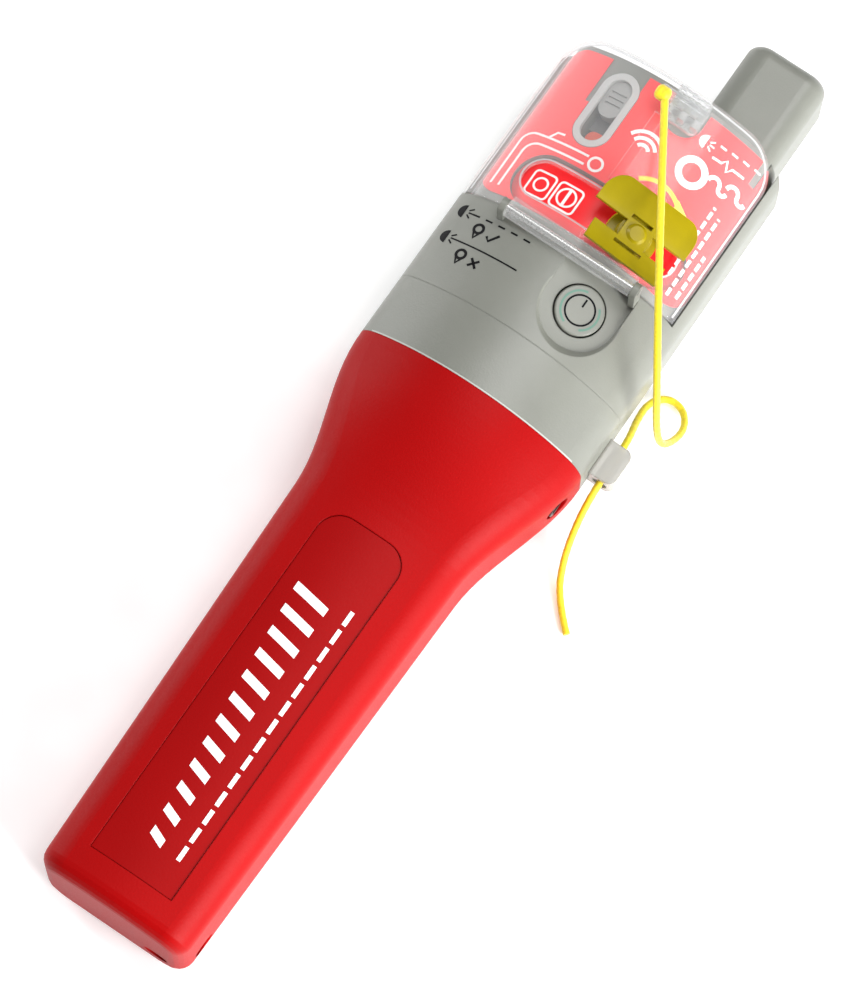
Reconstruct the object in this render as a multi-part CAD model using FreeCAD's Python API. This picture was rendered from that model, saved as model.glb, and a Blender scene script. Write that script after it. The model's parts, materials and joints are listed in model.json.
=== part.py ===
import FreeCAD, Part
import math
import os

# Hand-held emergency position beacon, lying on its flat back. Millimetres.
# X to the right seen from the front, +Y along the body towards the light tower, +Z out of the front face.
# "l" is the distance along the body from the handle's end; the origin is at mid-length under the back.

LENGTH = 170.0
SEAM_L = 96.4           # handle meets collar
COLLAR_L = 107.1        # collar meets head shell
LIP_L = 123.3           # lower edge of the clear cover
HEAD_TOP_L = 154.2
HEAD_DEPTH = 26.0
CROWN_R = 29.0          # the bowed front is an arc about a line along the body
HEAD_HALF = (20.5, 20.2)   # half width at the seam and at the head's top
HANDLE_HALF = 13.2
HANDLE_DEPTH = 21.8
HANDLE_TAPER = 0.0233      # half width gained for each millimetre along the handle
FLARE_L = (70.5, 95.5)     # where the handle widens to meet the head
FLARE_STEPS = 14

HANDLE_WALL = 1.9
HEAD_WALL = 2.0
END_ROUND = 2.5
BACK_TRIM = 0.05        # planed off the back, so that it is a true plane

COVER_T = 1.2
COVER_GAP = 0.35
LABEL_T = 0.15
STEP = COVER_T + COVER_GAP + LABEL_T
COVER_X = (-26.0, 18.9)
COVER_SIDE_Z = 12.5
COVER_TOP_L = 155.0
COVER_ROUND = 6.5
COVER_SIDE_PLAY = 0.2
HINGE_X = (-11.0, 11.8)
HINGE_L = 122.4
HINGE_Z = 27.8
HINGE_BARREL_R = 1.5
HINGE_PIN_R = 0.6
HINGE_PLAY = 0.05
EAR_T = 1.1
EAR_R = 1.2
EAR_GAP = 0.15
WINDOW_X = (-13.0, 14.5)
WINDOW_L = (127.0, 133.3)
CHANNEL_DROP = 1.3      # depth of the channel under the window, below the label

SLOT_X = -8.6
SLOT_L = (138.5, 152.2)
SLOT_W = 6.5
POCKET_W = 4.5
POCKET_DEPTH = 6.5

TEST_X, TEST_L, TEST_R = 7.0, 116.0, 4.0
RECESS_HALF = 6.5
RECESS_DEPTH = 1.6

TOWER_X = (3.8, 17.8)
TOWER_Z = (4.0, 19.6)
TOWER_L = 149.0

CLIP_X, CLIP_L = 7.0, 130.2
CLIP_T = 0.8
CLIP_LIFT = 1.0         # clip's underside above the cover, at its bridge
TUBE_R = 9.0            # radius of the saddle that takes an oral inflation tube
FOOT_R = 2.9
FLANGE_R = 4.2
RIVET_R = 0.9

EYE_X, EYE_L = 2.8, 150.9
LUG_X, LUG_L, LUG_Z = 22.6, 101.8, 9.0
LUG_HOLE_R = 1.25
CORD_R = 0.6
CELL_R, CELL_LEN, CELL_Z = 8.4, 34.5, 11.2
FIRST_CELL_L = 9.5
SCREW_L, SCREW_Z, SCREW_R = 91.0, 11.5, 0.9
SCREW_SEAT = 18.9
SKIRT = 7.5

# Route of the pull cord: x, l, z of its corners, from the eye to its free end
CORD_POINTS = (
    (-0.9, 150.2, 30.6), (9.4, 133.4, 31.9), (18.4, 119.3, 30.2), (23.5, 111.9, 25.0), (25.9, 108.8, 17.5),
    (27.0, 108.7, 10.5), (27.8, 111.2, 5.4), (28.1, 115.0, 2.4), (26.1, 118.0, 0.9), (22.9, 118.4, 0.7),
    (20.8, 115.7, 1.5), (21.3, 111.4, 4.3), (22.2, 108.0, 7.2), (22.6, 104.8, 9.0), (22.6, 98.0, 9.0),
    (23.0, 92.2, 6.6), (24.1, 86.9, 2.4), (26.6, 81.8, 0.62), (31.0, 77.7, 0.62),
)

V = FreeCAD.Vector


def y_at(l):
    return l - LENGTH / 2


def box(x0, x1, l0, l1, z0, z1):
    return Part.makeBox(x1 - x0, l1 - l0, z1 - z0, V(x0, y_at(l0), z0))


def rod(x, l, z, r, length, axis):
    return Part.makeCylinder(r, length, V(x, y_at(l), z), V(*axis))


def rounded_plate(x0, x1, l0, l1, z0, z1, r):
    """Box whose upright edges are rounded."""
    solid = box(x0, x1, l0, l1, z0, z1)
    edges = [e for e in solid.Edges if abs(e.tangentAt(e.FirstParameter).z) > 0.99]
    return solid.makeFillet(r, edges)


def on_face(solid, x, l):
    """Moves a solid drawn about the origin, +Z outwards, onto the bowed front at x and l."""
    lean = math.asin(x / CROWN_R)
    solid = solid.copy()
    solid.rotate(V(0, 0, 0), V(0, 1, 0), math.degrees(lean))
    solid.translate(V(x, y_at(l), HEAD_DEPTH - CROWN_R + CROWN_R * math.cos(lean)))
    return solid


def slab(x0, x1, y0, y1, z0, z1):
    return Part.makeBox(x1 - x0, y1 - y0, z1 - z0, V(x0, y0, z0))


def disc(r, z0, z1):
    return Part.makeCylinder(r, z1 - z0, V(0, 0, z0))


def upright_round(solid, r):
    return solid.makeFillet(r, [e for e in solid.Edges if abs(e.tangentAt(e.FirstParameter).z) > 0.99])


def ring_section(l, half, depth, front_r, corner_r, back_r, inset):
    """Closed outline across the body: flat back, bowed front, rounded corners, moved inwards by inset."""
    half, front_r = half - inset, front_r - inset
    corner_r, back_r = max(corner_r - inset, 0.8), max(back_r - inset, 0.8)
    low, high = inset - BACK_TRIM, depth - inset
    cx = half - corner_r
    cz = high - front_r + math.sqrt((front_r - corner_r) ** 2 - cx ** 2)
    lean = math.atan2(cz - (high - front_r), cx)
    y = y_at(l)

    def on_corner(angle, side):
        return V(side * (cx + corner_r * math.cos(angle)), y, cz + corner_r * math.sin(angle))

    def on_back(angle, side):
        bx = half - back_r
        return V(side * (bx + back_r * math.cos(angle)), y, low + back_r - back_r * math.sin(angle))

    right, left = 1, -1
    edges = [
        Part.makeLine(on_back(math.pi / 2, left), on_back(math.pi / 2, right)),
        Part.Arc(on_back(math.pi / 2, right), on_back(math.pi / 4, right), on_back(0, right)).toShape(),
        Part.makeLine(on_back(0, right), on_corner(0, right)),
        Part.Arc(on_corner(0, right), on_corner(lean / 2, right), on_corner(lean, right)).toShape(),
        Part.Arc(on_corner(lean, right), V(0, y, high), on_corner(lean, left)).toShape(),
        Part.Arc(on_corner(lean, left), on_corner(lean / 2, left), on_corner(0, left)).toShape(),
        Part.makeLine(on_corner(0, left), on_back(0, left)),
        Part.Arc(on_back(0, left), on_back(math.pi / 4, left), on_back(math.pi / 2, left)).toShape(),
    ]
    return Part.Wire(edges)


def under_back():
    """Everything below the plane that the beacon lies on."""
    return box(-40, 40, -20, LENGTH + 20, -20, 0)


def head_section(l, inset):
    along = (l - SEAM_L) / (HEAD_TOP_L - SEAM_L)
    half = HEAD_HALF[0] + along * (HEAD_HALF[1] - HEAD_HALF[0])
    return ring_section(l, half, HEAD_DEPTH, CROWN_R, 7.5, 8.0, inset)


def head_body(l0, l1, inset=0.0):
    return Part.makeLoft([head_section(l0, inset), head_section(l1, inset)], True, True)


def handle_half(l):
    """Half width of the handle: a slight taper, then an S-shaped flare up to the head."""
    along = min(max((l - FLARE_L[0]) / (FLARE_L[1] - FLARE_L[0]), 0), 1)
    swell = HEAD_HALF[0] - HANDLE_HALF - HANDLE_TAPER * SEAM_L
    return HANDLE_HALF + HANDLE_TAPER * l + swell * along * along * (3 - 2 * along)


def handle_section(l, inset):
    half = handle_half(l)
    flare = (half - HANDLE_HALF) / (HEAD_HALF[0] - HANDLE_HALF)
    depth = HANDLE_DEPTH + flare * (HEAD_DEPTH - HANDLE_DEPTH)
    return ring_section(l, half, depth, 45 - 16 * flare, 5 + 2.5 * flare, 5 + 3 * flare, inset)


def handle_body(inset=0.0, start=0.0, end=SEAM_L):
    step = (SEAM_L - FLARE_L[0]) / FLARE_STEPS
    stations = [start] + [FLARE_L[0] + n * step for n in range(FLARE_STEPS)] + [SEAM_L]
    stations = [l for l in stations if start <= l <= end]
    return Part.makeLoft([handle_section(l, inset) for l in stations], True, True)


def handle_end():
    """Rounded closed end, each section drawn in along a quarter circle."""
    sections = []
    for step in range(6):
        angle = math.radians(90 * step / 5)
        l = END_ROUND * (1 - math.cos(angle))
        sections.append(handle_section(l, END_ROUND * (1 - math.sin(angle))))
    return Part.makeLoft(sections, True, True)


def head_skin(outer, inner, l0=SEAM_L, l1=LENGTH - 4):
    """The layer of the head between two depths below its surface."""
    return head_body(l0, l1, outer).cut(head_body(l0 - 1, l1 + 1, inner))


def end_edges(solid, l):
    y = y_at(l)
    return [e for e in solid.Edges if all(abs(v.Point.y - y) < 1e-3 for v in e.Vertexes)]


# ---- handle ----

def panel_outline(grow, z0, z1):
    low = box(-7.4 - grow, 7.4 + grow, 6.0 - grow, 60, z0, z1)
    top = rounded_plate(-7.4 - grow, 7.4 + grow, 50, 69.5 + grow, z0, z1, 4.0)
    return low.fuse(top).removeSplitter()


def handle_shell():
    outer = handle_body(0, END_ROUND).fuse(handle_end()).cut(under_back())
    solid = outer.cut(handle_body(HANDLE_WALL, HANDLE_WALL))
    solid = solid.cut(panel_outline(0, 12, 40).cut(handle_body(0.45)))
    for side in (-1, 1):
        solid = solid.cut(rod(side * SCREW_SEAT, SCREW_L, SCREW_Z, 2.2, 10, (side, 0, 0)))
        solid = solid.cut(rod(side * 14, SCREW_L, SCREW_Z, SCREW_R + 0.05, 10, (side, 0, 0)))
    return solid.cut(lanyard_bore(1.5))


def lanyard_bore(r):
    """Straight hole across the end's right corner, from the end face to the right side."""
    return Part.makeCylinder(r, 20, V(6.5, y_at(-1.5), 6), V(1, 1, 0))


def handle_label_panel():
    layer = handle_body(0.15).cut(handle_body(0.45))
    return layer.common(panel_outline(-0.1, 15, 40))


def lanyard_bush():
    """Thick tube moulded round the lanyard hole, so that the hole doesn't open into the battery space."""
    solid = lanyard_bore(2.6).cut(lanyard_bore(1.5))
    return solid.common(handle_body(HANDLE_WALL, HANDLE_WALL))


def battery_cell(number):
    start = FIRST_CELL_L + number * (CELL_LEN + 0.3)
    can = rod(0, start, CELL_Z, CELL_R, CELL_LEN - 1.2, (0, 1, 0))
    can = can.makeFillet(0.5, [e for e in can.Edges if e.Closed])
    return can.fuse(rod(0, start + CELL_LEN - 1.4, CELL_Z, 3.2, 1.4, (0, 1, 0)))


def battery_sleeve():
    start, length = FIRST_CELL_L + 1, 2 * CELL_LEN - 3
    tube = rod(0, start, CELL_Z, CELL_R + 0.3, length, (0, 1, 0))
    return tube.cut(rod(0, start - 1, CELL_Z, CELL_R + 0.05, length + 2, (0, 1, 0)))


def spring_contact():
    """Conical contact spring behind the last cell."""
    helix = Part.makeHelix(1.5, 5.2, 4.6)
    helix.rotate(V(0, 0, 0), V(1, 0, 0), -90)
    helix.translate(V(0, y_at(FIRST_CELL_L - 6.0), CELL_Z))
    start = helix.Edges[0].valueAt(helix.Edges[0].FirstParameter)
    tangent = helix.Edges[0].tangentAt(helix.Edges[0].FirstParameter)
    profile = Part.Wire([Part.makeCircle(0.3, start, tangent)])
    return Part.Wire(helix.Edges).makePipeShell([profile], True, True)


def plus_contact():
    """Sprung plate that meets the upper cell's positive end."""
    l = FIRST_CELL_L + 2 * CELL_LEN + 0.4
    return box(-5, 5, l, l + 0.6, CELL_Z - 5, CELL_Z + 5)


# ---- collar and head ----

def collar_ring():
    solid = head_body(SEAM_L, COLLAR_L).cut(under_back())
    skirt = head_body(SEAM_L - SKIRT, SEAM_L + 0.5, 2.1).common(handle_body(HANDLE_WALL + 0.15, 80))
    solid = solid.fuse(skirt).cut(o_ring_groove())
    solid = solid.cut(head_body(SEAM_L - SKIRT - 1, COLLAR_L + 1, 4.1))
    for side in (-1, 1):
        solid = solid.cut(rod(side * 12, SCREW_L, SCREW_Z, SCREW_R - 0.2, 10, (side, 0, 0)))
    return solid


def o_ring_groove():
    return head_skin(1.0, 2.9, SEAM_L - 2.6, SEAM_L - 1.4)


def o_ring():
    return head_skin(2.05, 2.85, SEAM_L - 2.5, SEAM_L - 1.5)


def line_guide_lug():
    block = rounded_plate(18.6, 24.8, LUG_L - 3.2, LUG_L + 3.2, LUG_Z - 2.2, LUG_Z + 2.2, 1.4)
    block = block.cut(head_body(SEAM_L - 5, COLLAR_L + 5, 0.0))
    return block.cut(rod(LUG_X, LUG_L - 10, LUG_Z, LUG_HOLE_R, 20, (0, 1, 0)))


def cover_outline(l0, l1):
    """Prism of the cover's outline seen from the front, with its two top corners rounded."""
    zone = box(COVER_X[0], COVER_X[1], l0, l1 - 8, COVER_SIDE_Z, 45)
    top = rounded_plate(-HEAD_HALF[1], COVER_X[1], l1 - 14, l1, COVER_SIDE_Z, 45, COVER_ROUND)
    return zone.fuse(top).removeSplitter()


def step_cut():
    """What is taken off the head so that the cover lies flush with it."""
    play = COVER_SIDE_PLAY
    zone = box(COVER_X[0], COVER_X[1] + play, LIP_L, HEAD_TOP_L + 2, COVER_SIDE_Z - play, 45)
    return zone.cut(head_body(LIP_L - 1, HEAD_TOP_L + 3, STEP))


def recess_cut():
    floor = -RECESS_DEPTH
    low = disc(RECESS_HALF, floor, 9)
    high = slab(-RECESS_HALF, RECESS_HALF, 0, LIP_L - 0.9 - TEST_L, floor, 9)
    rim = Part.makeCone(RECESS_HALF, RECESS_HALF + 6, 6, V(0, 0, floor + 0.5))
    return on_face(low.fuse([high, rim]).removeSplitter(), TEST_X, TEST_L)


def slot_shape(width, end_gap, z0, z1):
    """Obround prism centred on the activation slot, drawn about the origin."""
    half = (SLOT_L[1] - SLOT_L[0]) / 2 - end_gap
    solid = slab(-width / 2, width / 2, -half, half, z0, z1)
    return on_face(upright_round(solid, width / 2 - 0.001), SLOT_X, sum(SLOT_L) / 2)


def window_shape(grow, z0, z1):
    """Obround prism through the cover's window, square to the middle of the front."""
    x0, x1 = WINDOW_X[0] - grow, WINDOW_X[1] + grow
    l0, l1 = WINDOW_L[0] - grow, WINDOW_L[1] + grow
    return rounded_plate(x0, x1, l0, l1, z0, z1, (l1 - l0) / 2 - 0.001)


def channel_cut():
    """Channel under the window, in which the clip's foot slides."""
    return window_shape(1.6, 5, 45).cut(head_body(LIP_L, HEAD_TOP_L, STEP + CHANNEL_DROP))


def plan_outline():
    """Prism that rounds the head's top corners as seen from the front."""
    return rounded_plate(-HEAD_HALF[1] - 0.9, HEAD_HALF[1] + 0.9, COLLAR_L - 20, HEAD_TOP_L, -1, 45, 5.0)


def head_shell():
    outer = head_body(COLLAR_L, HEAD_TOP_L)
    outer = outer.makeFillet(1.6, end_edges(outer, HEAD_TOP_L)).common(plan_outline())
    outer = outer.cut(under_back())
    cavity = head_body(COLLAR_L - 1, HEAD_TOP_L - HEAD_WALL, STEP + 1.5)
    inside = head_body(COLLAR_L, HEAD_TOP_L - 0.5, STEP + 0.2)
    backs = [
        on_face(disc(RECESS_HALF + 1.2, -3.7, -1), TEST_X, TEST_L),
        on_face(slab(-RECESS_HALF - 1, RECESS_HALF + 1, 0, 5.8, -3.7, -1), TEST_X, TEST_L),
        window_shape(3, 15, 45).cut(head_body(LIP_L - 5, HEAD_TOP_L, STEP + CHANNEL_DROP + 1.2)),
        slot_shape(SLOT_W - 0.3, 0, -POCKET_DEPTH - 0.9, -1),
    ]
    solid = outer.cut(cavity).fuse([back.common(inside) for back in backs])
    solid = solid.cut(step_cut()).cut(recess_cut()).cut(channel_cut())
    solid = solid.cut(slot_shape(POCKET_W, 1.0, -POCKET_DEPTH, 9))
    solid = solid.cut(on_face(disc(TEST_R + 0.25, -9, 3), TEST_X, TEST_L))
    solid = solid.cut(on_face(button_block(0.2, -9, -6), SLOT_X, sum(SLOT_L) / 2))
    solid = solid.fuse([ear(HINGE_X[0] - EAR_T - EAR_GAP), ear(HINGE_X[1] + EAR_GAP)])
    return solid.cut(tower_block(0.0, TOWER_L)).cut(hinge_rod(HINGE_PIN_R, 40))


def ear(x):
    """One of the two ears that hold the cover's hinge pin."""
    eye = Part.makeCylinder(EAR_R, EAR_T, V(x, y_at(HINGE_L), HINGE_Z), V(1, 0, 0))
    leg = box(x, x + EAR_T, HINGE_L - EAR_R, HINGE_L + 0.6, 18, HINGE_Z)
    return eye.fuse(leg).removeSplitter().cut(head_body(COLLAR_L, HEAD_TOP_L, 1.0))


def hinge_rod(r, length):
    middle = sum(HINGE_X) / 2
    return Part.makeCylinder(r, length, V(middle - length / 2, y_at(HINGE_L), HINGE_Z), V(1, 0, 0))


def hinge_pin():
    return hinge_rod(HINGE_PIN_R, HINGE_X[1] - HINGE_X[0] + 2 * EAR_T)


def tower_block(inset, l0):
    x0, x1 = TOWER_X[0] + inset, TOWER_X[1] - inset
    solid = box(x0, x1, l0, LENGTH - inset, TOWER_Z[0] + inset, TOWER_Z[1] - inset)
    edges = [e for e in solid.Edges if abs(e.tangentAt(e.FirstParameter).y) > 0.99]
    return solid.makeFillet(3.6 - inset, edges)


def tower_dome():
    outer = tower_block(0.0, TOWER_L)
    outer = outer.makeFillet(2.2, end_edges(outer, LENGTH))
    return outer.cut(tower_block(1.6, TOWER_L - 2))


def label_shape(depth):
    layer = head_skin(depth - LABEL_T, depth, LIP_L, HEAD_TOP_L - 0.8)
    return layer.common(box(-30, 30, LIP_L, HEAD_TOP_L, COVER_SIDE_Z, 45))


def front_label():
    layer = label_shape(STEP)
    solid = layer.common(rounded_plate(-18.9, COVER_X[1] - 0.4, LIP_L + 2.2, HEAD_TOP_L - 0.8, 10, 45, 3.0))
    notch = rounded_plate(EYE_X - 3.2, EYE_X + 3.2, EYE_L - 3.2, EYE_L + 20, 10, 45, 3.1)
    slot_half = SLOT_W / 2 + 0.1
    slot_top = box(SLOT_X - slot_half, SLOT_X + slot_half, sum(SLOT_L) / 2, HEAD_TOP_L, 10, 45)
    solid = solid.cut([slot_shape(SLOT_W + 0.2, -0.1, -9, 9), slot_top, notch, window_shape(1.7, 5, 45)])
    return solid.cut(tower_block(-0.15, TOWER_L))


def window_label():
    return label_shape(STEP + CHANNEL_DROP).common(window_shape(1.4, 5, 45))


def slot_bezel():
    layer = head_skin(STEP - LABEL_T, STEP + 0.6, LIP_L, HEAD_TOP_L - 0.8)
    ring = slot_shape(SLOT_W, 0, -9, 9).cut(slot_shape(POCKET_W - 0.3, 1.15, -9.5, 9.5))
    return layer.common(ring).cut(head_shell_core())


def head_shell_core():
    """The head's own material under the bezel."""
    return head_body(LIP_L - 2, HEAD_TOP_L, STEP).cut(slot_shape(POCKET_W, 1.0, -9, 9))


# ---- clear cover, its hinge and its eye ----

def clear_cover():
    layer = head_skin(0, COVER_T, LIP_L, COVER_TOP_L)
    solid = layer.common(cover_outline(LIP_L + 0.3, COVER_TOP_L)).cut(window_shape(0, 5, 45))
    web = box(HINGE_X[0], HINGE_X[1], HINGE_L, LIP_L + 1.1, 20, HINGE_Z + 0.4)
    web = web.cut(head_body(LIP_L - 5, LIP_L + 0.3, -0.3)).cut(head_body(LIP_L, LIP_L + 9, COVER_T / 2))
    barrel = hinge_barrel()
    rib = box(-1.2, 0.4, WINDOW_L[1] + 2.2, EYE_L - 2.4, 20, HEAD_DEPTH + 0.8)
    rib = rib.cut(head_body(LIP_L, HEAD_TOP_L, COVER_T / 2))
    solid = solid.fuse([web, barrel, rib]).removeSplitter()
    return solid.cut(hinge_rod(HINGE_PIN_R + HINGE_PLAY, 60))


def hinge_barrel():
    start = V(HINGE_X[0], y_at(HINGE_L), HINGE_Z)
    return Part.makeCylinder(HINGE_BARREL_R, HINGE_X[1] - HINGE_X[0], start, V(1, 0, 0))


def cover_eye():
    """Ribbed clear bollard at the cover's top, to which the pull cord is tied."""
    base = upright_round(slab(-3.1, 3.1, -2.6, 3.2, -0.6, 1.2), 1.2)
    ribs = [slab(x, x + 1.2, -2.2, 2.6, 0, 3.4) for x in (-3.0, -0.6, 1.8)]
    bar = Part.makeCylinder(1.1, 8.2, V(-5.2, 0.2, 2.9), V(1, 0, 0))
    solid = on_face(base.fuse(ribs + [bar]).removeSplitter(), EYE_X, EYE_L)
    return solid.cut(head_body(LIP_L, LENGTH, 0.0))


# ---- mounting clip, which slides along the window ----

def mount_clip():
    middle = CLIP_LIFT + CLIP_T + TUBE_R
    sheet = Part.makeCylinder(TUBE_R + CLIP_T, 20, V(-10, 0, middle), V(1, 0, 0))
    sheet = sheet.cut(Part.makeCylinder(TUBE_R, 22, V(-11, 0, middle), V(1, 0, 0)))
    upper = upright_round(slab(-8.4, 8.4, -3.4, 6.2, 0, 8), 3.0).common(slab(-9, 9, 1.1, 6.2, 0, 8))
    lower = slab(-6.7, 6.7, -5.4, -1.8, 0, 8)
    bridge = slab(-2.4, 2.4, -2.0, 1.3, 0, 8)
    outline = upper.fuse([lower, bridge]).removeSplitter()
    solid = sheet.common(outline).cut([slab(-2.2, 1.6, 1.7, 2.3, 0, 8), slab(-2.5, 2.5, -3.1, -2.5, 0, 8)])
    return on_face(solid.cut(disc(RIVET_R, -1, 9)), CLIP_X, CLIP_L)


def crown_tube(r):
    """Cylinder about the line on which the bowed front is centred."""
    return Part.makeCylinder(r, 60, V(0, y_at(LIP_L - 10), HEAD_DEPTH - CROWN_R), V(0, 1, 0))


def clip_foot():
    """Boss through the window with a flange that runs under the cover."""
    flange_top, flange_low = COVER_T + COVER_GAP / 2, COVER_T + 1.3
    flange = crown_tube(CROWN_R - flange_top).cut(crown_tube(CROWN_R - flange_low))
    flange = flange.common(on_face(disc(FLANGE_R, -6, 6), CLIP_X, CLIP_L))
    boss = on_face(disc(FOOT_R, -2.4, CLIP_LIFT), CLIP_X, CLIP_L).cut(crown_tube(CROWN_R - flange_low))
    return boss.fuse(flange).removeSplitter().cut(on_face(disc(RIVET_R, -9, 9), CLIP_X, CLIP_L))


def clip_rivet():
    shank = disc(RIVET_R, -2.3, CLIP_LIFT + CLIP_T)
    head = Part.makeCone(1.7, 1.2, 0.5, V(0, 0, CLIP_LIFT + CLIP_T))
    return on_face(shank.fuse(head).removeSplitter(), CLIP_X, CLIP_L)


# ---- test button ----

def test_button():
    cap = disc(TEST_R, -3.0, -RECESS_DEPTH + 0.4)
    cap = cap.makeFillet(0.25, [e for e in cap.Edges if e.Closed and e.BoundBox.ZMin > -2])
    return on_face(cap.fuse(disc(2.6, -4.4, -3.0)).removeSplitter(), TEST_X, TEST_L)


def test_button_seal():
    return on_face(disc(5.4, -4.25, -3.75).cut(disc(4.4, -5, -3)), TEST_X, TEST_L)


def test_switch():
    return on_face(slab(-3, 3, -3, 3, -7.6, -6.2).fuse(disc(1.6, -6.2, -5.3)), TEST_X, TEST_L)


# ---- activation slot ----

def activation_slider():
    mid = sum(SLOT_L) / 2
    block = slab(-2.05, 2.05, 144.5 - mid, 151.0 - mid, -4.1, -2.3)
    block = upright_round(block, 1.9)
    grooves = [slab(-1.4, 1.4, y, y + 0.4, -2.6, -2) for y in (1.2, 2.2, 3.2)]
    return on_face(block.cut(grooves), SLOT_X, mid)


def button_block(grow, z0, z1):
    """Column of the activation button, drawn about the middle of the slot."""
    return slab(-1.5 - grow, 1.5 + grow, -5.3 - grow, -3.1 + grow, z0, z1)


def slider_track():
    floor = slot_shape(POCKET_W - 0.1, 1.05, -POCKET_DEPTH, -5.2)
    return floor.cut(on_face(slab(-4, 4, -9, -2.9, -9, 0), SLOT_X, sum(SLOT_L) / 2))


def activation_button():
    cap = upright_round(slab(-1.65, 1.65, -5.6, -3.0, -5.1, -4.4), 1.25)
    return on_face(cap.fuse(button_block(0, -7.4, -5.0)).removeSplitter(), SLOT_X, sum(SLOT_L) / 2)


def activation_switch():
    place = slab(-2.4, 2.4, -6.4, -2.0, -9.9, -8.3)
    return on_face(place, SLOT_X, sum(SLOT_L) / 2)


# ---- electronics ----

def main_board():
    return rounded_plate(-14, 14, 109, 149, 10.5, 12.1, 2)


def rf_shield():
    return rounded_plate(-13, -3, 112, 126, 12.1, 14.3, 0.8)


def gps_antenna():
    return rounded_plate(-2, 12, 128, 142, 12.1, 15.6, 0.5)


def status_led():
    return rod(-9.5, 129.5, 12.1, 1.5, 3.2, (0, 0, 1)).fuse(Part.makeSphere(1.5, V(-9.5, y_at(129.5), 15.3)))


def antenna_coil():
    """Coiled tape of the antenna that springs out on activation."""
    x, z = sum(TOWER_X) / 2, sum(TOWER_Z) / 2
    return rod(x, 152, z, 4.6, 5, (0, 1, 0)).cut(rod(x, 151, z, 3.2, 7, (0, 1, 0)))


def strobe_led():
    x, z = sum(TOWER_X) / 2, sum(TOWER_Z) / 2
    base = rod(x, 159.5, z, 3.6, 1.2, (0, 1, 0))
    return base.fuse([rod(x, 160.7, z, 2.2, 1.4, (0, 1, 0)), Part.makeSphere(2.2, V(x, y_at(162.1), z))])


def side_screws():
    """Two identical screws that hold the handle on the collar's skirt."""
    screws = []
    for side in (-1, 1):
        shank = rod(side * 14.6, SCREW_L, SCREW_Z, SCREW_R, SCREW_SEAT - 14.6, (side, 0, 0))
        head = rod(side * SCREW_SEAT, SCREW_L, SCREW_Z, 1.7, 0.8, (side, 0, 0))
        slot = box(-0.25, 0.25, SCREW_L - 1, SCREW_L + 1, -1, 1)
        slot.translate(V(side * (SCREW_SEAT + 0.8), 0, SCREW_Z))
        screws.append(shank.fuse(head).cut(slot))
    return Part.makeCompound(screws)


# ---- pull cord ----

def rounded_path(points):
    """Straight runs joined by tangent arcs as large as the runs allow."""
    points = [V(x, y_at(l), z) for x, l, z in points]
    edges, last = [], points[0]
    for before, here, after in zip(points, points[1:], points[2:]):
        back, ahead = before - here, after - here
        trim = 0.45 * min(back.Length, ahead.Length)
        turn = math.pi - back.getAngle(ahead)
        radius = trim / math.tan(turn / 2)
        print("cord turn", round(math.degrees(turn), 1), "radius", round(radius, 2))
        back.normalize()
        ahead.normalize()
        begin, finish = here + back * trim, here + ahead * trim
        inward = back + ahead
        inward.normalize()
        middle = here + inward * (radius / math.cos(turn / 2) - radius)
        edges.append(Part.LineSegment(last, begin).toShape())
        edges.append(Part.Arc(begin, middle, finish).toShape())
        last = finish
    edges.append(Part.LineSegment(last, points[-1]).toShape())
    return Part.Wire(edges)


def pull_cord():
    path = rounded_path(CORD_POINTS)
    start = path.Edges[0].Vertexes[0].Point
    profile = Part.Wire([Part.makeCircle(CORD_R, start, path.Edges[0].tangentAt(0))])
    tube = path.makePipeShell([profile], True, False)
    print("cord length", round(path.Length, 1), "volume ratio",
          round(tube.Volume / (math.pi * CORD_R ** 2 * path.Length), 4))
    return tube


def cord_knot():
    x, l, z = CORD_POINTS[0]
    barrel = rod(x - 1.6, l + 0.1, z - 0.2, 1.25, 2.4, (1, 0, 0))
    return barrel.makeFillet(0.8, [e for e in barrel.Edges if e.Closed])


NODES = [
    handle_shell, handle_label_panel, lanyard_bush, battery_sleeve, spring_contact, plus_contact,
    collar_ring, o_ring, line_guide_lug, side_screws,
    head_shell, tower_dome, front_label, window_label, slot_bezel,
    clear_cover, cover_eye, hinge_pin, mount_clip, clip_foot, clip_rivet,
    test_button, test_button_seal, test_switch,
    activation_slider, slider_track, activation_button, activation_switch,
    main_board, rf_shield, gps_antenna, status_led, antenna_coil, strobe_led,
    pull_cord, cord_knot,
]

shapes = {make.__name__: make() for make in NODES}
for number in (1, 2):
    shapes["battery_cell_%d" % number] = battery_cell(number - 1)

os.makedirs("parts", exist_ok=True)
for name, shape in shapes.items():
    shape.exportStep("parts/" + name + ".step")
    print(name, len(shape.Solids), shape.isValid(), round(shape.Volume, 2))
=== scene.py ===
import json
import math

import bmesh
import bpy
from mathutils import Matrix, Vector


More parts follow.
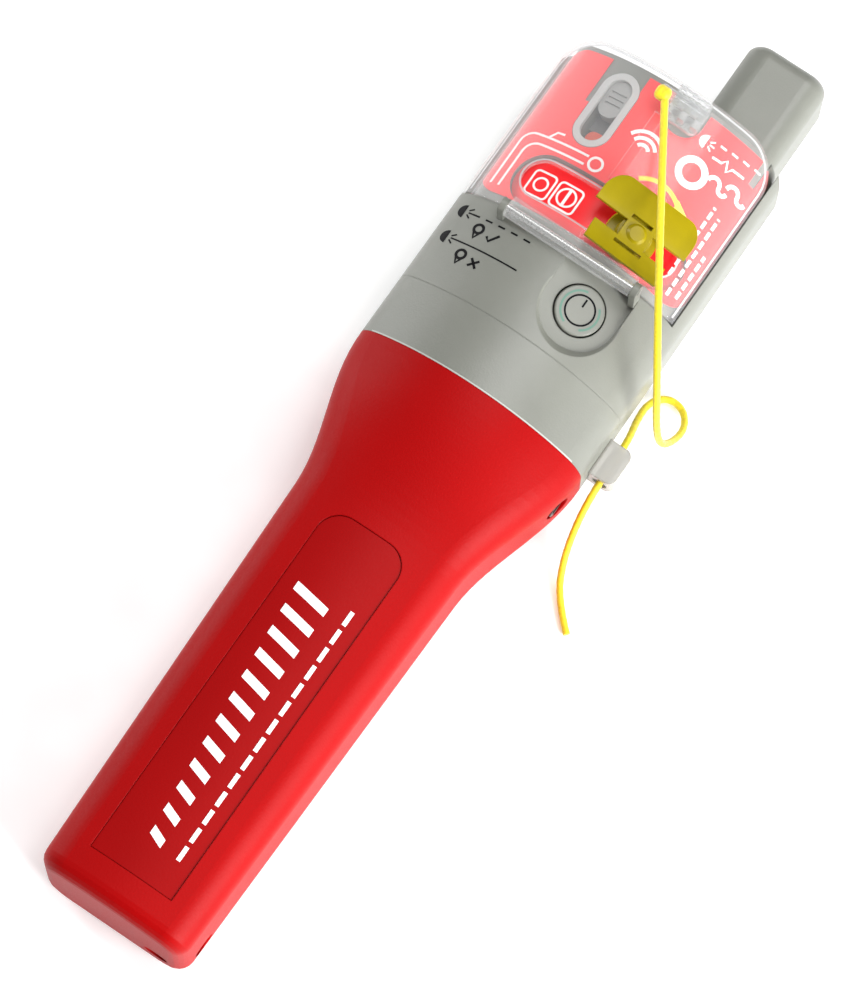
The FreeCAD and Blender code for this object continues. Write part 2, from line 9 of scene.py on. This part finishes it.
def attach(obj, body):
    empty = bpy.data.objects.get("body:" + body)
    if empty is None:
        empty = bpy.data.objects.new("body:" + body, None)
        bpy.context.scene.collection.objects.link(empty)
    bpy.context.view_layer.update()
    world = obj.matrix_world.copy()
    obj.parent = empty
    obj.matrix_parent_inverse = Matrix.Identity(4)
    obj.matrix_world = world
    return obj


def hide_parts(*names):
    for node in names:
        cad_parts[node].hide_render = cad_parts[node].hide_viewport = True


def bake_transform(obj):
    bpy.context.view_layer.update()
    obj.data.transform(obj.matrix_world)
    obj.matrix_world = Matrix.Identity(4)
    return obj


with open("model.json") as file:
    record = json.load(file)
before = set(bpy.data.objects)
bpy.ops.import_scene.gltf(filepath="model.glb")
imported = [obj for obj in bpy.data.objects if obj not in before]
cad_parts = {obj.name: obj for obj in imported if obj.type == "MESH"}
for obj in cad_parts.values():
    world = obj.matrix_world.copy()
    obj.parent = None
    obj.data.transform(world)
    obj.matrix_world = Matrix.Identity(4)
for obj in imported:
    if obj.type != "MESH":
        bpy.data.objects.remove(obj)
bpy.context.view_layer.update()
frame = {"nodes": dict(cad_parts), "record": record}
NODES = frame["nodes"]

# Lengths are in millimetres, as on the part's drawing, and MM turns them into metres.
# "l" is the distance along the body from the handle's end.
MM = 0.001
LENGTH = 170.0
SEAM_L = 96.4           # the handle meets the collar
HEAD_TOP_L = 154.2
HEAD_DEPTH = 26.0
CROWN_R = 29.0
CORNER_R = 7.5
HANDLE_HALF, HANDLE_TAPER, HANDLE_DEPTH = 13.2, 0.0233, 21.8
HANDLE_CROWN_R = 45.0
TEST_X, TEST_L = 7.0, 116.0
HEAD_HALF = (20.5, 20.2)
LABEL_TOP = 1.55        # the label's face, below the head's surface
WINDOW_LABEL_TOP = 2.85
PANEL_TOP = 0.15
BUTTON_TOP = 1.19       # the print on the test button, below the head's surface
PRINT = 0.03            # thickness of a printed mark
PRINT_STRIP = 0.8       # width of the strips that follow a bowed face


def spot(x, l, z):
    """A point of the drawing, in metres in the frame."""
    return (x * MM, (l - LENGTH / 2) * MM, z * MM)


# ---------- camera and light ----------

def make_camera():
    """Long lens, nearly square to the front, rolled so that the body leans to the right."""
    turn, tip, lean = math.radians(8.1), math.radians(12.7), math.radians(35.3)
    back = Vector((math.sin(turn) * math.cos(tip), -math.sin(tip), math.cos(turn) * math.cos(tip)))
    level_up = (Vector((0, 1, 0)) - back.y * back).normalized()
    level_right = level_up.cross(back)
    up = level_up * math.cos(lean) - level_right * math.sin(lean)
    right = level_right * math.cos(lean) + level_up * math.sin(lean)
    target = Vector((0, 0, 12 * MM)) - up * 3.8 * MM - right * 0.55 * MM
    camera = bpy.data.objects.new("camera", bpy.data.cameras.new("camera"))
    bpy.context.scene.collection.objects.link(camera)
    camera.data.lens = 200
    camera.data.sensor_width = 36
    camera.data.clip_end = 20
    place = Matrix((right, up, back)).transposed().to_4x4()
    place.translation = target + back * 0.843
    camera.matrix_world = place
    bpy.context.scene.camera = camera


def area_light(name, place, size, power):
    light = bpy.data.lights.new(name, "AREA")
    light.shape = "RECTANGLE"
    light.size, light.size_y = size
    light.energy = power
    lamp = bpy.data.objects.new(name, light)
    bpy.context.scene.collection.objects.link(lamp)
    lamp.location = place
    lamp.rotation_mode = "QUATERNION"
    aim = Vector((0, 0, 0.01)) - Vector(place)
    lamp.rotation_quaternion = aim.to_track_quat("-Z", "Y")


def make_studio():
    area_light("key_right", (0.6, -0.12, 0.2), (0.3, 0.6), 10.0)
    area_light("rim_left", (-0.5, 0.05, 0.1), (0.1, 0.6), 2.2)
    area_light("top_soft", (0.1, 0.25, 0.75), (0.4, 0.4), 3.2)
    world = bpy.data.worlds.new("studio")
    bpy.context.scene.world = world
    world.use_nodes = True
    background = world.node_tree.nodes["Background"]
    background.inputs["Color"].default_value = (1, 1, 1, 1)
    background.inputs["Strength"].default_value = 0.34
    bpy.context.scene.view_settings.view_transform = "Standard"


def make_floor():
    bpy.ops.mesh.primitive_plane_add(size=6, location=(0, 0, -0.0002))
    floor = bpy.context.object
    floor.name = "floor"
    glow = {"Emission Color": (1, 1, 1, 1), "Emission Strength": 0.2}
    floor.data.materials.append(material("floor_paper", (0.92, 0.92, 0.92), 0.8, grain=0.02, **glow))


# ---------- materials ----------

def material(name, colour, rough, grain=0.0, grain_mm=0.35, mottle=0.06, mottle_mm=18.0, edge_mm=0.0,
             **sockets):
    """Moulded-plastic finish: slow colour mottling, fine grain in gloss and bump, softened edges."""
    mat = bpy.data.materials.new(name)
    mat.use_nodes = True
    tree = mat.node_tree
    shader = tree.nodes["Principled BSDF"]
    shader.inputs["Roughness"].default_value = rough
    for key, value in sockets.items():
        shader.inputs[key.replace("_", " ")].default_value = value
    where = tree.nodes.new("ShaderNodeTexCoord").outputs["Object"]

    def noise(scale_mm, detail):
        node = tree.nodes.new("ShaderNodeTexNoise")
        node.inputs["Scale"].default_value = 1 / (scale_mm * MM)
        node.inputs["Detail"].default_value = detail
        tree.links.new(where, node.inputs["Vector"])
        return node.outputs["Fac"]

    ramp = tree.nodes.new("ShaderNodeValToRGB")
    dark = [c * (1 - mottle) for c in colour[:3]]
    light = [min(c * (1 + mottle), 1) for c in colour[:3]]
    ramp.color_ramp.elements[0].position, ramp.color_ramp.elements[1].position = 0.3, 0.7
    ramp.color_ramp.elements[0].color = (*dark, 1)
    ramp.color_ramp.elements[1].color = (*light, 1)
    tree.links.new(noise(mottle_mm, 3), ramp.inputs["Fac"])
    tree.links.new(ramp.outputs["Color"], shader.inputs["Base Color"])
    fine = noise(grain_mm, 2)
    gloss = tree.nodes.new("ShaderNodeMapRange")
    gloss.inputs["To Min"].default_value = rough * 0.85
    gloss.inputs["To Max"].default_value = min(rough * 1.15, 1)
    tree.links.new(fine, gloss.inputs["Value"])
    tree.links.new(gloss.outputs["Result"], shader.inputs["Roughness"])
    bump = tree.nodes.new("ShaderNodeBump")
    bump.inputs["Strength"].default_value = grain
    bump.inputs["Distance"].default_value = 0.05 * MM
    tree.links.new(fine, bump.inputs["Height"])
    if edge_mm:
        bevel = tree.nodes.new("ShaderNodeBevel")
        bevel.samples = 4
        bevel.inputs["Radius"].default_value = edge_mm * MM
        tree.links.new(bevel.outputs["Normal"], bump.inputs["Normal"])
    tree.links.new(bump.outputs["Normal"], shader.inputs["Normal"])
    return mat


def clear_finish(name, colour, veil, edge, rough=0.05):
    """Clear moulding: its opacity is veil where it is seen square on, and edge where it turns away."""
    mat = material(name, colour, rough, mottle=0.02, edge_mm=0.35,
                   Coat_Weight=0.5, Coat_Roughness=0.03)
    tree = mat.node_tree
    weight = tree.nodes.new("ShaderNodeLayerWeight")
    weight.inputs["Blend"].default_value = 0.35
    span = tree.nodes.new("ShaderNodeMapRange")
    span.inputs["To Min"].default_value = veil
    span.inputs["To Max"].default_value = edge
    tree.links.new(weight.outputs["Facing"], span.inputs["Value"])
    tree.links.new(span.outputs["Result"], tree.nodes["Principled BSDF"].inputs["Alpha"])
    return mat


def make_materials():
    skin = (1 * MM, 1 * MM, 1 * MM)
    made = {
        "red_plastic": material("red_plastic", (0.33, 0.0002, 0.0006), 0.45, 0.5, mottle=0.04, edge_mm=0.3,
                                Specular_IOR_Level=0.09),
        "panel_film": material("panel_film", (0.29, 0.0002, 0.0006), 0.42, 0.3, mottle=0.04,
                               Specular_IOR_Level=0.09),
        "grey_plastic": material("grey_plastic", (0.195, 0.20, 0.175), 0.36, 0.35, edge_mm=0.3,
                                 Subsurface_Weight=0.25, Subsurface_Radius=skin),
        "pale_plastic": material("pale_plastic", (0.34, 0.34, 0.33), 0.35, 0.3, edge_mm=0.2),
        "red_label": material("red_label", (0.95, 0.008, 0.014), 0.3, 0.1, mottle=0.02),
        "clear_plastic": clear_finish("clear_plastic", (0.95, 0.96, 0.97), 0.06, 0.38),
        # painted shade: grey colour stands for the dark refractions seen through the thick clear eye
        "clear_thick": clear_finish("clear_thick", (0.55, 0.57, 0.58), 0.22, 0.8),
        # painted highlight: whiter clear strips laid on the cover's edges and round its window
        "clear_painted_highlight": clear_finish("clear_painted_highlight", (0.85, 0.86, 0.87), 0.35, 0.7, rough=0.12),
        "lug_plastic": clear_finish("lug_plastic", (0.30, 0.29, 0.25), 0.72, 0.95, rough=0.2),
        "olive_plastic": material("olive_plastic", (0.30, 0.235, 0.001), 0.34, 0.3, mottle=0.1, mottle_mm=6,
                                  edge_mm=0.15, Specular_IOR_Level=0.25),
        "bezel": material("bezel", (0.50, 0.50, 0.49), 0.35, 0.3, edge_mm=0.2),
        "dark_plastic": material("dark_plastic", (0.16, 0.16, 0.155), 0.5, 0.4),
        "dark_steel": material("dark_steel", (0.10, 0.08, 0.08), 0.4, 0.3, Metallic=1.0),
        "orange_plastic": material("orange_plastic", (1.0, 0.09, 0.02), 0.3, 0.2, edge_mm=0.2),
        "black_rubber": material("black_rubber", (0.02, 0.02, 0.02), 0.7, 0.6),
        "cell_wrap": material("cell_wrap", (0.05, 0.08, 0.12), 0.3, 0.1),
        "spring_steel": material("spring_steel", (0.62, 0.62, 0.6), 0.28, 0.25, Metallic=1.0),
        "board": material("board", (0.02, 0.15, 0.05), 0.4, 0.3),
        "ceramic": material("ceramic", (0.6, 0.55, 0.45), 0.6, 0.5),
        "copper": material("copper", (0.7, 0.4, 0.15), 0.3, 0.2, Metallic=1.0),
        "yellow_cord": material("yellow_cord", (0.80, 0.63, 0.003), 0.55, 0.9, grain_mm=0.12, mottle=0.12,
                                mottle_mm=0.5, Sheen_Weight=0.3),
        "print_black": material("print_black", (0.004, 0.004, 0.005), 0.5, 0.1, Specular_IOR_Level=0.1),
        # painted highlight: pale strip laid along the seam where the handle meets the collar
        "painted_seam_highlight": material("painted_seam_highlight", (0.42, 0.43, 0.40), 0.4, 0.2),
        "print_white": material("print_white", (0.9, 0.9, 0.9), 0.45, 0.1, mottle=0.02),
        "print_yellow": material("print_yellow", (0.9, 0.78, 0.02), 0.45, 0.1, mottle=0.02),
        # painted reflection: green arcs standing for a green glow on the test button
        "painted_green_reflection": material("painted_green_reflection", (0.10, 0.21, 0.16), 0.45, 0.1, mottle=0.1),
    }
    slot_of = {s["node"]: s["material_slot"] for s in frame["record"]["subparts"]}
    for name, node in NODES.items():
        node.data.materials.clear()
        node.data.materials.append(made[slot_of[name]])
    special = {"cover_eye": "clear_thick", "line_guide_lug": "lug_plastic", "slot_bezel": "bezel",
               "side_screws": "dark_steel"}
    for name, finish in special.items():
        NODES[name].data.materials[0] = made[finish]
    return made


# ---------- pull cord ----------

CORD_D = 1.2
CORD_ROUTE = (
    (-0.9, 150.2, 30.6), (9.4, 133.4, 31.9), (18.4, 119.3, 30.2), (23.5, 111.9, 25.0), (25.9, 108.8, 17.5),
    (27.0, 108.7, 10.5), (27.8, 111.2, 5.4), (28.1, 115.0, 2.4), (26.1, 118.0, 0.9), (22.9, 118.4, 0.7),
    (20.8, 115.7, 1.5), (21.3, 111.4, 4.3), (22.2, 108.0, 7.2), (22.6, 104.8, 9.0), (22.6, 98.0, 9.0),
    (23.0, 92.2, 6.6), (24.1, 86.9, 2.4), (26.6, 81.8, 0.62), (31.0, 77.7, 0.62),
)


def smooth_line(route):
    """Points along a NURBS spline whose control points are the route."""
    curve = bpy.data.curves.new("cord_line", "CURVE")
    curve.dimensions = "3D"
    curve.resolution_u = 24
    spline = curve.splines.new("NURBS")
    spline.points.add(len(route) - 1)
    for point, (x, l, z) in zip(spline.points, route):
        point.co = (*spot(x, l, z), 1)
    spline.order_u = 3
    spline.use_endpoint_u = True
    holder = bpy.data.objects.new("cord_line", curve)
    bpy.context.scene.collection.objects.link(holder)
    mesh = bpy.data.meshes.new_from_object(holder)
    points = [v.co.copy() for v in mesh.vertices]
    bpy.data.objects.remove(holder)
    return points


def resample(points, step):
    """The same line with points a fixed step apart."""
    out, walked = [points[0]], 0.0
    for a, b in zip(points, points[1:]):
        run = (b - a).length
        while run > 1e-9 and walked + run >= step:
            a = a + (b - a) * ((step - walked) / run)
            out.append(a)
            run, walked = (b - a).length, 0.0
        walked += run
    if (points[-1] - out[-1]).length > step * 0.3:
        out.append(points[-1])
    return out


def make_cord(mats):
    """Braided line: a tube whose surface carries the diamond pattern of its plaited strands."""
    sides, strands, lay_mm = 20, 4, 3.2
    line = resample(smooth_line(CORD_ROUTE), 0.16 * MM)
    mesh = bmesh.new()
    rings, side_way, walked = [], Vector((0, 0, 1)), 0.0
    for n, here in enumerate(line):
        ahead = line[min(n + 1, len(line) - 1)] - line[max(n - 1, 0)]
        ahead.normalize()
        side_way = (side_way - ahead * side_way.dot(ahead)).normalized()
        other = ahead.cross(side_way)
        walked += (here - line[max(n - 1, 0)]).length / MM
        ring = []
        for k in range(sides):
            angle = math.tau * k / sides
            phase = math.tau * walked / lay_mm
            weave = math.cos(strands * angle + phase) * math.cos(strands * angle - phase)
            r = CORD_D / 2 * MM * (0.95 + 0.05 * weave)
            ring.append(mesh.verts.new(here + r * (math.cos(angle) * side_way + math.sin(angle) * other)))
        rings.append(ring)
    for near, far in zip(rings, rings[1:]):
        for k in range(sides):
            mesh.faces.new((near[k], near[(k + 1) % sides], far[(k + 1) % sides], far[k]))
    mesh.faces.new(list(reversed(rings[0])))
    mesh.faces.new(rings[-1])
    cord = new_object("pull_cord_braid", mesh, mats["yellow_cord"])
    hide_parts("pull_cord")
    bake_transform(cord)


def new_object(name, mesh, mat, smooth=True):
    data = bpy.data.meshes.new(name)
    bmesh.ops.recalc_face_normals(mesh, faces=mesh.faces)
    mesh.to_mesh(data)
    mesh.free()
    piece = bpy.data.objects.new(name, data)
    bpy.context.scene.collection.objects.link(piece)
    data.materials.append(mat)
    for face in data.polygons:
        face.use_smooth = smooth
    return piece


# ---------- printed marks, laid on the bowed faces ----------

def head_z(x, l, inset):
    """Height of the head's front at x and l, for the surface inset below the outside."""
    along = (l - SEAM_L) / (HEAD_TOP_L - SEAM_L)
    half = HEAD_HALF[0] + along * (HEAD_HALF[1] - HEAD_HALF[0])
    cx = half - CORNER_R
    low = HEAD_DEPTH - CROWN_R
    reach = CROWN_R - CORNER_R
    cz = low + math.sqrt(reach ** 2 - cx ** 2)
    r = CROWN_R - inset
    if abs(x) <= cx * r / reach:
        return low + math.sqrt(r * r - x * x)
    return cz + math.sqrt(max((CORNER_R - inset) ** 2 - (abs(x) - cx) ** 2, 0))


def handle_z(x, l, inset):
    half = HANDLE_HALF + HANDLE_TAPER * l
    flare = (half - HANDLE_HALF) / (HEAD_HALF[0] - HANDLE_HALF)
    depth = HANDLE_DEPTH + flare * (HEAD_DEPTH - HANDLE_DEPTH)
    front_r = HANDLE_CROWN_R - (HANDLE_CROWN_R - CROWN_R) * flare
    return depth - front_r + math.sqrt((front_r - inset) ** 2 - x * x)


def ribbon(points, width, closed=False):
    """Quads of a stroke of that width along a line of (x, l) points."""
    points = [Vector(p) for p in points]
    count = len(points)
    sides = []
    for n, here in enumerate(points):
        before = points[n - 1] if (n or closed) else here
        after = points[(n + 1) % count] if (n < count - 1 or closed) else here
        way = (after - before).normalized()
        across = Vector((-way.y, way.x)) * width / 2
        sides.append((here - across, here + across))
    pairs = list(zip(sides, sides[1:] + sides[:1])) if closed else list(zip(sides, sides[1:]))
    return [[a[0], b[0], b[1], a[1]] for a, b in pairs]


def arc(cx, cl, r, start, end, steps=20):
    angles = [math.radians(start + (end - start) * n / steps) for n in range(steps + 1)]
    return [(cx + r * math.cos(a), cl + r * math.sin(a)) for a in angles]


def ring(cx, cl, r, width):
    return ribbon(arc(cx, cl, r, 0, 348, 29), width, closed=True)


def rounded_box(x0, x1, l0, l1, r, width):
    line = []
    corners = (x1 - r, l1 - r, 0), (x0 + r, l1 - r, 90), (x0 + r, l0 + r, 180), (x1 - r, l0 + r, 270)
    for cx, cl, start in corners:
        line += arc(cx, cl, r, start, start + 90, 5)
    return ribbon(line, width, closed=True)


def bar(x0, x1, l0, l1):
    return [[Vector((x0, l0)), Vector((x1, l0)), Vector((x1, l1)), Vector((x0, l1))]]


def half_moon(cx, cl, r):
    """Lamp symbol: a filled half disc with three rays."""
    shape = [[Vector(p) for p in arc(cx, cl, r, 90, 270, 14)]]
    for tilt in (-35, 0, 35):
        way = Vector((math.cos(math.radians(tilt)), math.sin(math.radians(tilt))))
        start = Vector((cx, cl)) + way * r * 0.55
        shape += ribbon([start, start + way * r * 0.75], r * 0.22)
    return shape


def thicken(mesh):
    """Give flat faces the thickness of a printed mark."""
    solid = bmesh.ops.extrude_face_region(mesh, geom=mesh.faces[:])
    for item in solid["geom"]:
        if isinstance(item, bmesh.types.BMVert):
            item.co.z += PRINT * MM


def printed(name, shapes, mat, height, inset, body="housing"):
    """Thin raised print: flat outlines cut into narrow strips and laid on the face."""
    mesh = bmesh.new()
    for outline in shapes:
        verts = [mesh.verts.new((p[0], p[1], 0)) for p in outline]
        mesh.faces.new(verts)
    low = min(v.co.x for v in mesh.verts)
    high = max(v.co.x for v in mesh.verts)
    steps = int((high - low) / PRINT_STRIP)
    for n in range(1, steps + 1):
        cut = low + n * PRINT_STRIP
        geometry = mesh.verts[:] + mesh.edges[:] + mesh.faces[:]
        bmesh.ops.bisect_plane(mesh, geom=geometry, plane_co=(cut, 0, 0), plane_no=(1, 0, 0))
    for v in mesh.verts:
        x, l = v.co.x, v.co.y
        v.co = spot(x, l, height(x, l, inset) + 0.01)
    thicken(mesh)
    piece = new_object(name, mesh, mat, smooth=False)
    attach(piece, body)
    return piece


def pin_mark(cx, cl, ok):
    """Map pin with a tick or a cross beside it."""
    shape = ring(cx, cl + 0.5, 0.75, 0.45)
    shape += ribbon([(cx - 0.6, cl + 0.1), (cx, cl - 1.2), (cx + 0.6, cl + 0.1)], 0.4)
    x = cx + 2.6
    if ok:
        return shape + ribbon([(x - 0.8, cl), (x - 0.2, cl - 0.7), (x + 1.0, cl + 0.9)], 0.4)
    return shape + ribbon([(x - 0.7, cl - 0.7), (x + 0.7, cl + 0.7)], 0.4) + ribbon(
        [(x - 0.7, cl + 0.7), (x + 0.7, cl - 0.7)], 0.4)


def make_status_marks(mats):
    """Lamp symbols on the head: blinking with a position, steady without one."""
    dashed_l, solid_l, left = 120.2, 115.3, -15.8
    black = half_moon(-17.3, dashed_l, 1.15) + half_moon(-17.3, solid_l, 1.15)
    for n in range(5):
        black += bar(left + 2.3 * n, left + 1.2 + 2.3 * n, dashed_l - 0.15, dashed_l + 0.15)
    black += bar(left, -4.6, solid_l - 0.13, solid_l + 0.13)
    black += pin_mark(-13.6, dashed_l - 2.3, True) + pin_mark(-13.6, solid_l - 2.3, False)
    printed("status_marks", black, mats["print_black"], head_z, 0)


def beacon_outline():
    """Two lines round the window's corner, ending in a small lamp."""
    lines = []
    for x, l in ((-17.1, 137.2), (-15.7, 135.7)):
        bend = arc(x + 2.0, l - 2.0, 2.0, 180, 90, 6)
        lines += ribbon([(x, 126.9), (x, l - 2.0)] + bend + [(-6.0, l + 0.2)], 0.38)
    lines += ring(-4.4, 136.8, 1.1, 0.42)
    return lines + ribbon([(-13.2, 137.4), (-12.4, 138.6), (-11.2, 138.7)], 0.38)


def make_seam_highlight(mats):
    """Painted highlight: a pale line across the front, where the handle meets the collar."""
    line = [(-18.5 + 0.5 * n, SEAM_L + 0.15) for n in range(75)]
    printed("seam_highlight", ribbon(line, 0.22), mats["painted_seam_highlight"], head_z, 0)


def make_label_marks(mats):
    white = half_moon(7.6, 149.7, 1.15) + beacon_outline()
    for n in range(4):
        white += bar(9.7 + 2.0 * n, 10.8 + 2.0 * n, 150.5 + 0.25 * n, 150.85 + 0.25 * n)
    pulse = [(9.6, 148.4), (11.2, 148.6), (11.8, 149.5), (12.5, 147.9), (13.1, 148.9), (15.2, 149.1)]
    white += ribbon(pulse, 0.4)
    for r in (1.1, 2.2, 3.3):
        white += ribbon(arc(0.2, 142.4, r, 30, 150, 10), 0.6)
    white += ring(8.4, 144.4, 2.1, 1.1)
    for x, l in ((12.0, 145.2), (15.0, 146.0)):
        white += ribbon(arc(x, l, 1.0, 180, 0, 8), 0.65) + ribbon(arc(x + 1.7, l, 0.7, 180, 360, 8), 0.65)
    for n, (start, end) in enumerate(((129.5, 142.5), (126.8, 141.5), (127.4, 135.5))):
        x = 14.0 + 1.4 * n
        while start < end:
            white += bar(x, x + 0.5, start, min(start + 1.3, end))
            start += 1.8
    printed("label_marks", white, mats["print_white"], head_z, LABEL_TOP)

    inside = rounded_box(-11.9, -8.1, 128.0, 132.3, 0.7, 0.35) + ring(-10.0, 130.2, 1.1, 0.35)
    inside += rounded_box(-7.4, -3.2, 128.0, 132.3, 0.7, 0.35) + ring(-5.3, 130.2, 1.5, 0.35)
    inside += bar(-5.55, -5.05, 128.9, 131.5)
    printed("window_marks", inside, mats["print_white"], head_z, WINDOW_LABEL_TOP)


def make_turn_arrow(mats):
    """Yellow arrow round the clip; its tail shows in the window."""
    turn = ribbon(arc(6.0, 134.6, 5.4, 40, 132, 18), 0.7)
    turn += [[Vector((9.2, 139.6)), Vector((11.7, 138.2)), Vector((9.3, 136.9))]]
    printed("turn_arrow", turn, mats["print_yellow"], head_z, LABEL_TOP)
    tail = ribbon(arc(6.4, 130.6, 4.0, 145, 215, 10), 0.6)
    printed("turn_arrow_tail", tail, mats["print_yellow"], head_z, WINDOW_LABEL_TOP)


def make_handle_marks(mats):
    """Rising slanted bars along the handle with a dashed line beside them."""
    count, pitch, thick, slant = 12, 3.9, 1.45, 1.1
    marks = []
    for n in range(count):
        l, tall = 11.5 + pitch * n, 2.6 + 3.7 * n / (count - 1)
        corners = (1.5, l), (1.5, l + thick), (1.5 - tall, l + thick + slant), (1.5 - tall, l + slant)
        marks.append([Vector(p) for p in corners])
    for n in range(14):
        marks += bar(4.4, 5.1, 11.5 + 3.35 * n, 14.0 + 3.35 * n)
    printed("handle_marks", marks, mats["print_white"], handle_z, PANEL_TOP)


def make_cover_painted_highlight(mats):
    """Painted highlight: a whiter, more opaque clear strip laid round the clear cover's edge, and one round
    its window.
    """
    left, right, low, high, r = -19.0, 18.4, 124.3, 154.4, 5.9
    line = [(left, low), (left, high - r)]
    line += arc(left + r, high - r, r, 180, 90, 8) + arc(right - r, high - r, r, 90, 0, 8) + [(right, low)]
    window_l, window_r = 130.15, 3.4
    window = arc(-9.85, window_l, window_r, 270, 90, 12) + arc(11.35, window_l, window_r, 90, -90, 12)
    rim = ribbon(window, 0.28, closed=True)
    printed("cover_edge_painted_highlight", ribbon(line, 0.3), mats["clear_painted_highlight"], head_z, 0, body="cover")
    printed("window_edge_painted_highlight", rim, mats["clear_painted_highlight"], head_z, 0, body="cover")


# ---------- test button's symbol and painted green reflection ---

def make_test_symbol(mats):
    lean = math.asin(TEST_X / CROWN_R)
    place = Matrix.Translation(spot(TEST_X, TEST_L, HEAD_DEPTH - CROWN_R + CROWN_R * math.cos(lean)))
    place = place @ Matrix.Rotation(lean, 4, "Y")
    # the green arcs are a painted reflection on the button's face, not print
    green_reflection = ribbon(arc(0, 0, 3.1, 100, 250), 0.35) + ribbon(arc(0, 0, 3.1, -60, 40), 0.35)
    for name, shapes, mat in (
        ("test_ring", ring(0, 0, 2.4, 0.3) + bar(-0.15, 0.15, 0.6, 2.0), "print_black"),
        ("test_green_reflection", green_reflection, "painted_green_reflection"),
    ):
        mesh = bmesh.new()
        for outline in shapes:
            mesh.faces.new([mesh.verts.new((p[0] * MM, p[1] * MM, -BUTTON_TOP * MM)) for p in outline])
        thicken(mesh)
        bmesh.ops.transform(mesh, matrix=place, verts=mesh.verts)
        piece = new_object(name, mesh, mats[mat], smooth=False)
        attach(piece, "test_key")


make_camera()
make_studio()
MATERIALS = make_materials()
make_floor()
make_cord(MATERIALS)
make_status_marks(MATERIALS)
make_seam_highlight(MATERIALS)
make_label_marks(MATERIALS)
make_turn_arrow(MATERIALS)
make_handle_marks(MATERIALS)
make_cover_painted_highlight(MATERIALS)
make_test_symbol(MATERIALS)
